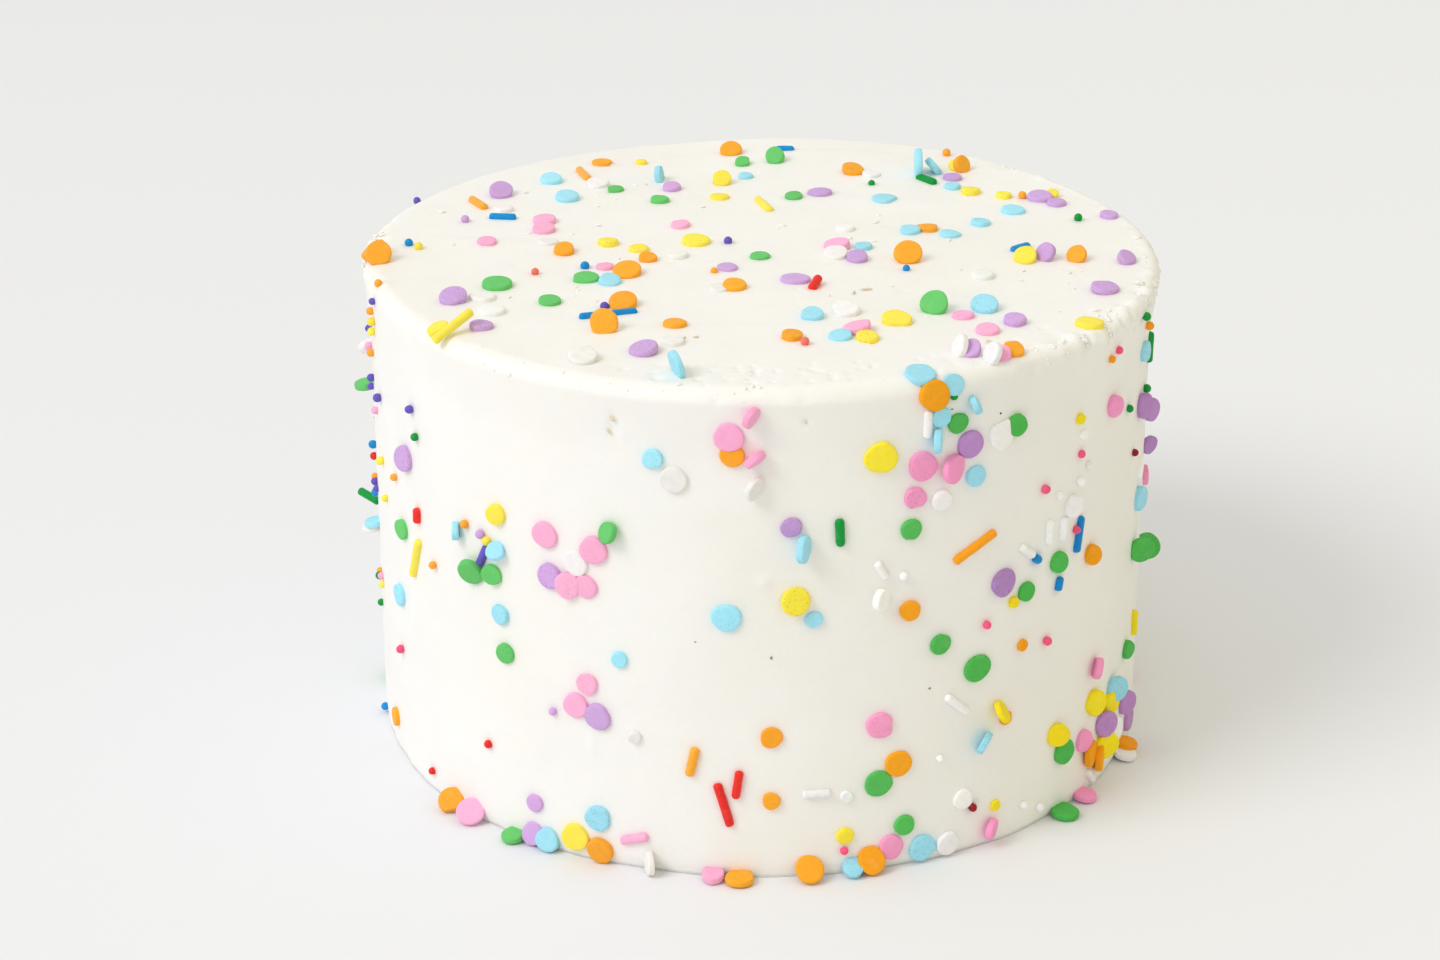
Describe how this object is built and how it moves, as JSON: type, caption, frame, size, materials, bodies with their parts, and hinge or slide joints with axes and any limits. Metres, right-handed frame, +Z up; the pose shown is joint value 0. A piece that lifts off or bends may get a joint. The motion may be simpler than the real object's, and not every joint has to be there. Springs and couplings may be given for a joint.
{
  "type": "birthday cake",
  "caption": "Tall round birthday cake, smoothly frosted and scattered with round confetti and rod sprinkles that stand out of its top and side.",
  "frame": {"origin": "middle of the flat foot that the cake rests on", "axes": "+Z up along the cake's axis, -Y towards the side that the picture shows"},
  "size_m": [0.1759, 0.1741, 0.1121],
  "materials": {
    "frosting": "smooth off-white buttercream with a soft sheen",
    "sprinkles": "sugar confetti, rods and beads in orange, pink, yellow, sky blue, green, lilac, white, red and dark blue"
  },
  "bodies": {
    "root": {"frosted_cake": "frosting"}
  },
  "joints": []
}
